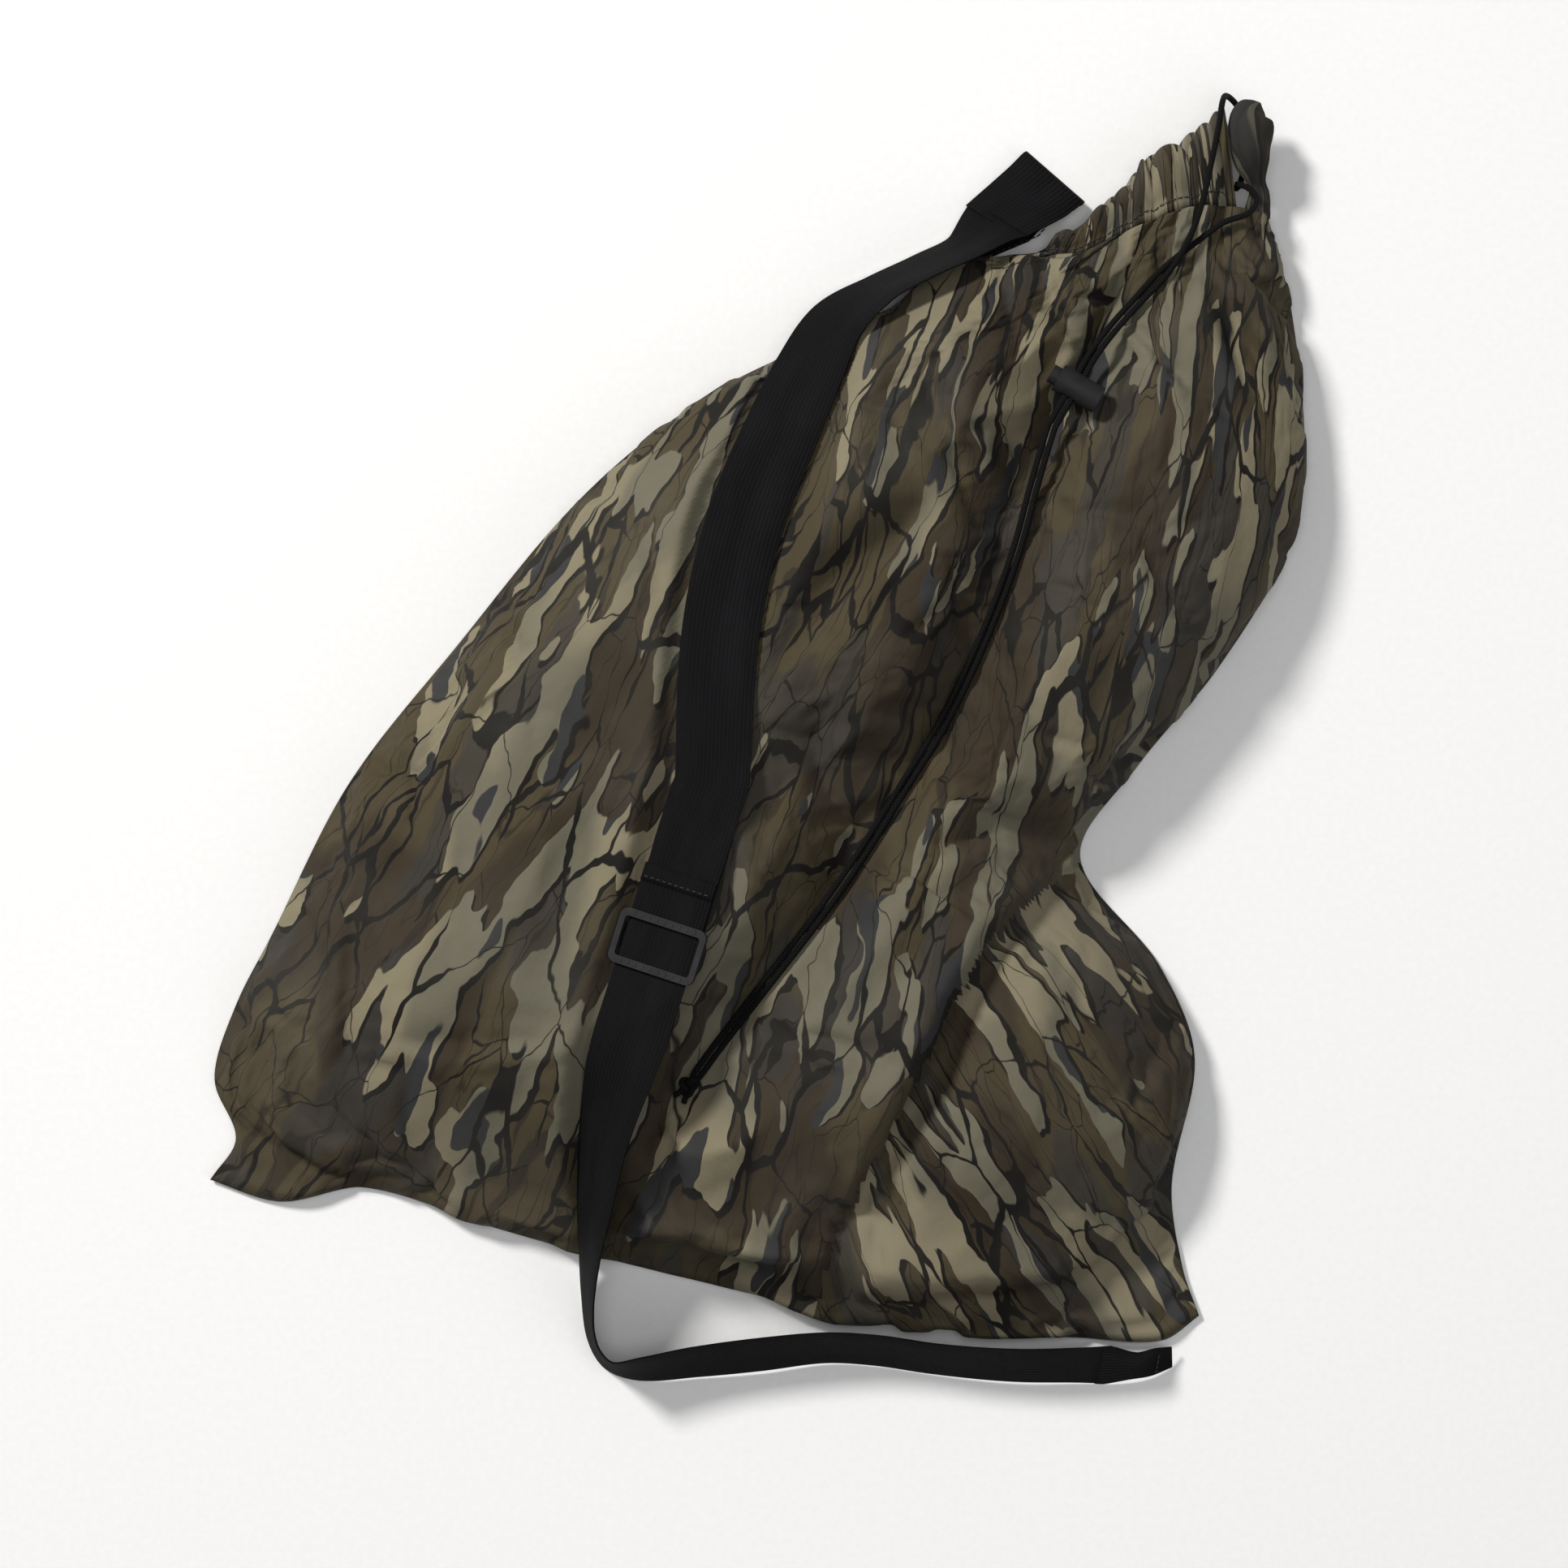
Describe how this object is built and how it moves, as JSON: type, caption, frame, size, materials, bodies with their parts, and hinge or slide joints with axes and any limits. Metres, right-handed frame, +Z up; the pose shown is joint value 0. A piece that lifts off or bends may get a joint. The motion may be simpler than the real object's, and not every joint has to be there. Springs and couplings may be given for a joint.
{
  "type": "packed field blind",
  "caption": "Layout field blind packed in its camouflage drawstring carry bag, with a cord lock, an adjustable webbing shoulder strap and a three-bar slider.",
  "frame": {"origin": "middle of the ground under the bag as it lies", "axes": "+Y along the bag's length, towards the mouth's side; +Z up from the ground"},
  "size_m": [0.716, 0.8415, 0.1132],
  "materials": {
    "camo_fabric": "matte",
    "blind_cloth": "matte",
    "webbing": "matte",
    "cord": "matte",
    "thread": "matte",
    "black_plastic": "satin",
    "spring_steel": "satin"
  },
  "bodies": {
    "bag": {"front_panel": "camo_fabric", "back_panel": "camo_fabric", "left_side_seam": "thread", "right_side_seam": "thread", "bottom_seam": "thread", "folded_blind_cover": "blind_cloth", "mouth_hem_front": "camo_fabric", "mouth_hem_back": "camo_fabric", "front_hem_stitching": "thread", "back_hem_stitching": "thread", "vent_flap": "camo_fabric", "drawcord_in_hem": "cord", "drawcord_strand_front": "cord", "drawcord_strand_back": "cord", "cord_end_knot": "cord", "strap_top_tab": "webbing", "strap_bottom_tab": "webbing", "top_tab_stitching": "thread", "bottom_tab_stitching": "thread"},
    "strap": {"strap_upper_webbing": "webbing", "strap_lower_webbing": "webbing", "tail_stitching": "thread"},
    "slider": {"slider_frame": "black_plastic", "strap_slider_loop": "webbing", "loop_stitching": "thread"},
    "cord_lock": {"cord_lock_body": "black_plastic", "cord_lock_spring": "spring_steel"},
    "lock_plunger": {"cord_lock_plunger": "black_plastic"}
  },
  "joints": [
    {"name": "strap_swing", "type": "hinge", "parent": "bag", "child": "strap", "pos_m": [0.203, -0.0285, 0.03], "axis": [-0.1144, 0.9934, 0], "range_deg": [0, 90]},
    {"name": "slider_slide", "type": "slide", "parent": "strap", "child": "slider", "axis": [0.3, 0.9539, 0], "range_m": [-0.015, 0.015]},
    {"name": "cord_lock_slide", "type": "slide", "parent": "bag", "child": "cord_lock", "axis": [-0.4945, -0.8564, 0.1483], "range_m": [-0.008, 0.008]},
    {"name": "cord_lock_press", "type": "slide", "parent": "cord_lock", "child": "lock_plunger", "axis": [0.866, -0.5, 0], "range_m": [0, 0.004], "stiffness_N_per_m": 300, "springref_m": -0.002, "deforming": ["cord_lock_spring"]}
  ]
}
